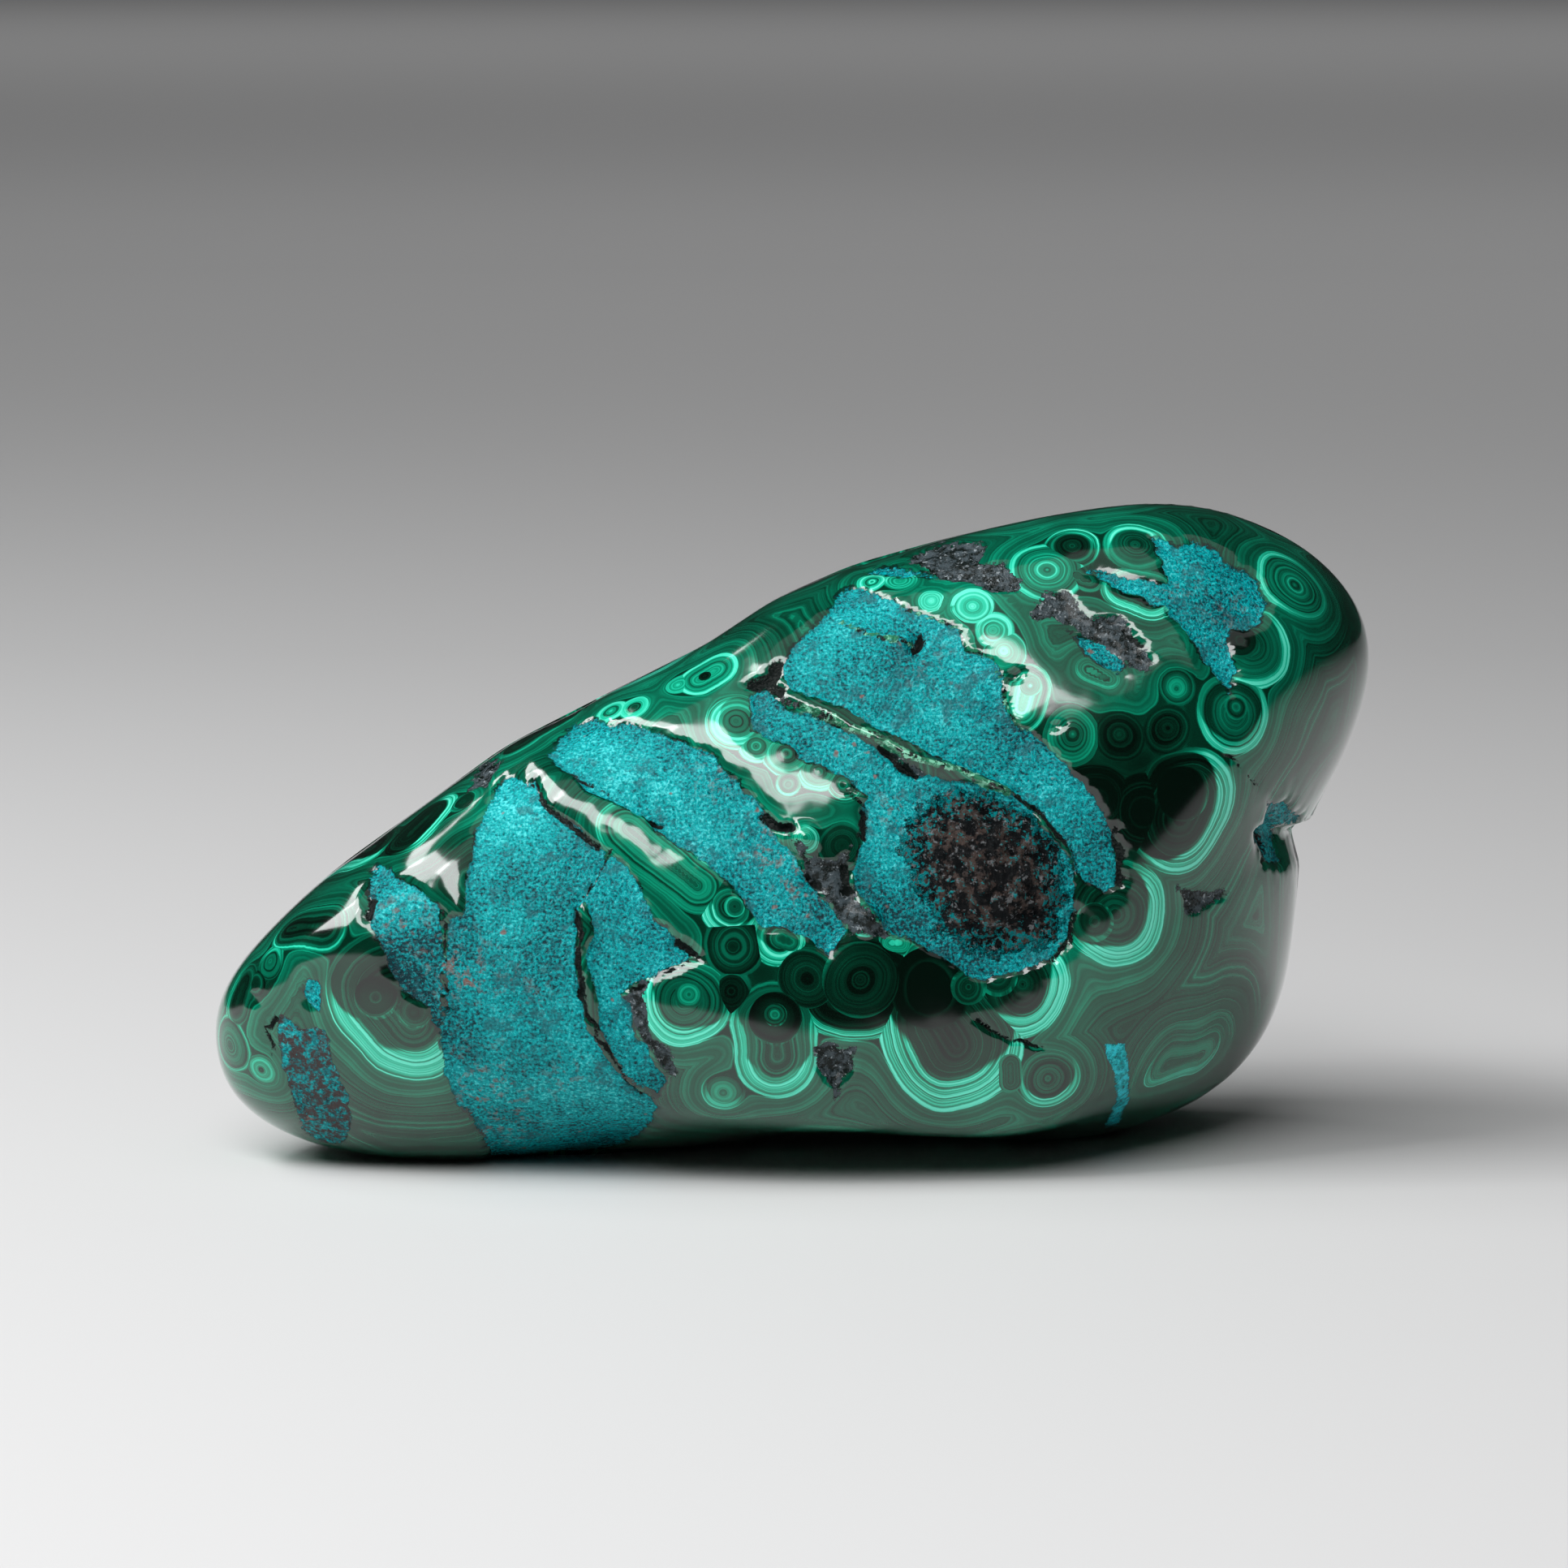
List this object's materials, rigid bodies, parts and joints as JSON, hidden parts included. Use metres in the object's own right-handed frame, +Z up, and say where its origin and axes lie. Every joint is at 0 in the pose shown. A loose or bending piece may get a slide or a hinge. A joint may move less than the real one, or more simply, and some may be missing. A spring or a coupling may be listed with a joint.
{
  "type": "polished malachite chrysocolla stone",
  "caption": "Hand-polished freeform stone of banded green malachite with worn-in patches of blue-green chrysocolla, resting on a ground flat underside.",
  "frame": {"origin": "under the middle of the stone's box, on the surface it rests on", "axes": "+Z up, +X along the length towards the high end, -Y towards the viewer of the picture"},
  "size_m": [0.0856, 0.039, 0.0478],
  "materials": {
    "stone": "polished"
  },
  "bodies": {
    "root": {"stone": "stone"}
  },
  "joints": []
}
